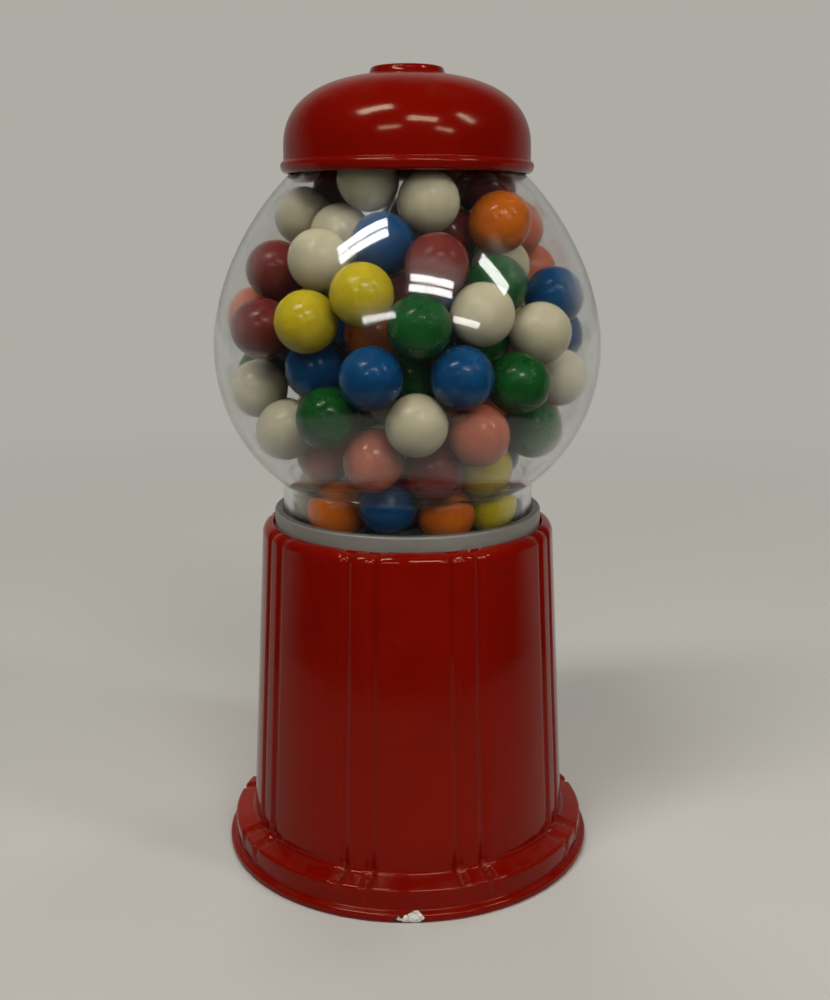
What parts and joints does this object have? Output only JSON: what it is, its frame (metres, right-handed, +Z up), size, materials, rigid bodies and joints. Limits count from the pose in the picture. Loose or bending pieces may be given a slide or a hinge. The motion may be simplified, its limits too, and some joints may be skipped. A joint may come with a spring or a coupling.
{
  "type": "gumball machine",
  "caption": "Small table-top gumball machine: red panelled base with coin slot, turning handle and ball mouth, clear globe full of gumballs and a loose red lid",
  "frame": {"origin": "centre of the foot's underside, on the surface that it stands on", "axes": "+Z up; the coin mechanism faces -Y; the picture is taken from the +Y side"},
  "size_m": [0.1052, 0.1074, 0.2158],
  "materials": {
    "red_enamel": "gloss",
    "clear_glass": "polished",
    "frosted_plastic": "frosted",
    "chrome_plate": "polished",
    "plated_steel": "satin",
    "black_enamel": "satin",
    "plug_rubber": "matte",
    "black_plastic": "satin",
    "milky_plastic": "satin",
    "gear_plastic": "satin",
    "bush_brass": "satin",
    "candy_white": "candy shell",
    "candy_maroon": "candy shell",
    "candy_blue": "candy shell",
    "candy_green": "candy shell",
    "candy_yellow": "candy shell",
    "candy_orange": "candy shell",
    "candy_coral": "candy shell"
  },
  "bodies": {
    "base": {"base_shell": "red_enamel", "globe": "clear_glass", "globe_seat_ring": "frosted_plastic", "faceplate": "chrome_plate", "faceplate_screws": "chrome_plate", "flap_pin": "chrome_plate", "bottom_screws": "plated_steel", "hopper_screws": "plated_steel", "bearing_bracket": "plated_steel", "bracket_screws": "plated_steel", "coin_track": "plated_steel", "track_screw": "plated_steel", "ratchet_spring": "plated_steel", "spring_screw": "plated_steel", "chute_screws": "plated_steel", "bottom_plate": "black_enamel", "ball_baffle": "black_plastic", "hopper": "milky_plastic", "chute": "milky_plastic", "shaft_bush": "bush_brass", "gumballs_white": "candy_white", "gumballs_maroon": "candy_maroon", "gumballs_blue": "candy_blue", "gumballs_green": "candy_green", "gumballs_yellow": "candy_yellow", "gumballs_orange": "candy_orange", "gumballs_coral": "candy_coral"},
    "lid": {"lid": "red_enamel"},
    "handle": {"drive_shaft": "plated_steel", "handle": "chrome_plate", "handle_screw": "chrome_plate", "ratchet_wheel": "plated_steel", "drive_pinion": "gear_plastic", "shaft_clip": "plated_steel"},
    "wheel": {"dispensing_wheel": "black_plastic", "crown_gear": "gear_plastic", "wheel_screw": "plated_steel", "pocket_gumballs": "candy_blue"},
    "flap": {"chute_flap": "chrome_plate"},
    "plug": {"coin_plug": "plug_rubber"}
  },
  "joints": [
    {"name": "lid_lift", "type": "slide", "parent": "base", "child": "lid", "axis": [0, 0, 1], "range_m": [0, 0.04]},
    {"name": "wheel_spin", "type": "hinge", "parent": "base", "child": "wheel", "pos_m": [0, 0, 0.07], "axis": [0, 0, 1], "continuous": true},
    {"name": "handle_turn", "type": "hinge", "parent": "base", "child": "handle", "pos_m": [0, -0.05, 0.0606], "axis": [0, 1, 0], "continuous": true},
    {"name": "flap_swing", "type": "hinge", "parent": "base", "child": "flap", "pos_m": [0, -0.0488, 0.0343], "axis": [-1, 0, 0], "range_deg": [0, 75]},
    {"name": "plug_pull", "type": "slide", "parent": "base", "child": "plug", "axis": [0, 0, -1], "range_m": [0, 0.02]}
  ],
  "couplings": [
    {"joint": "handle_turn", "follows": "wheel_spin", "ratio": 3}
  ]
}
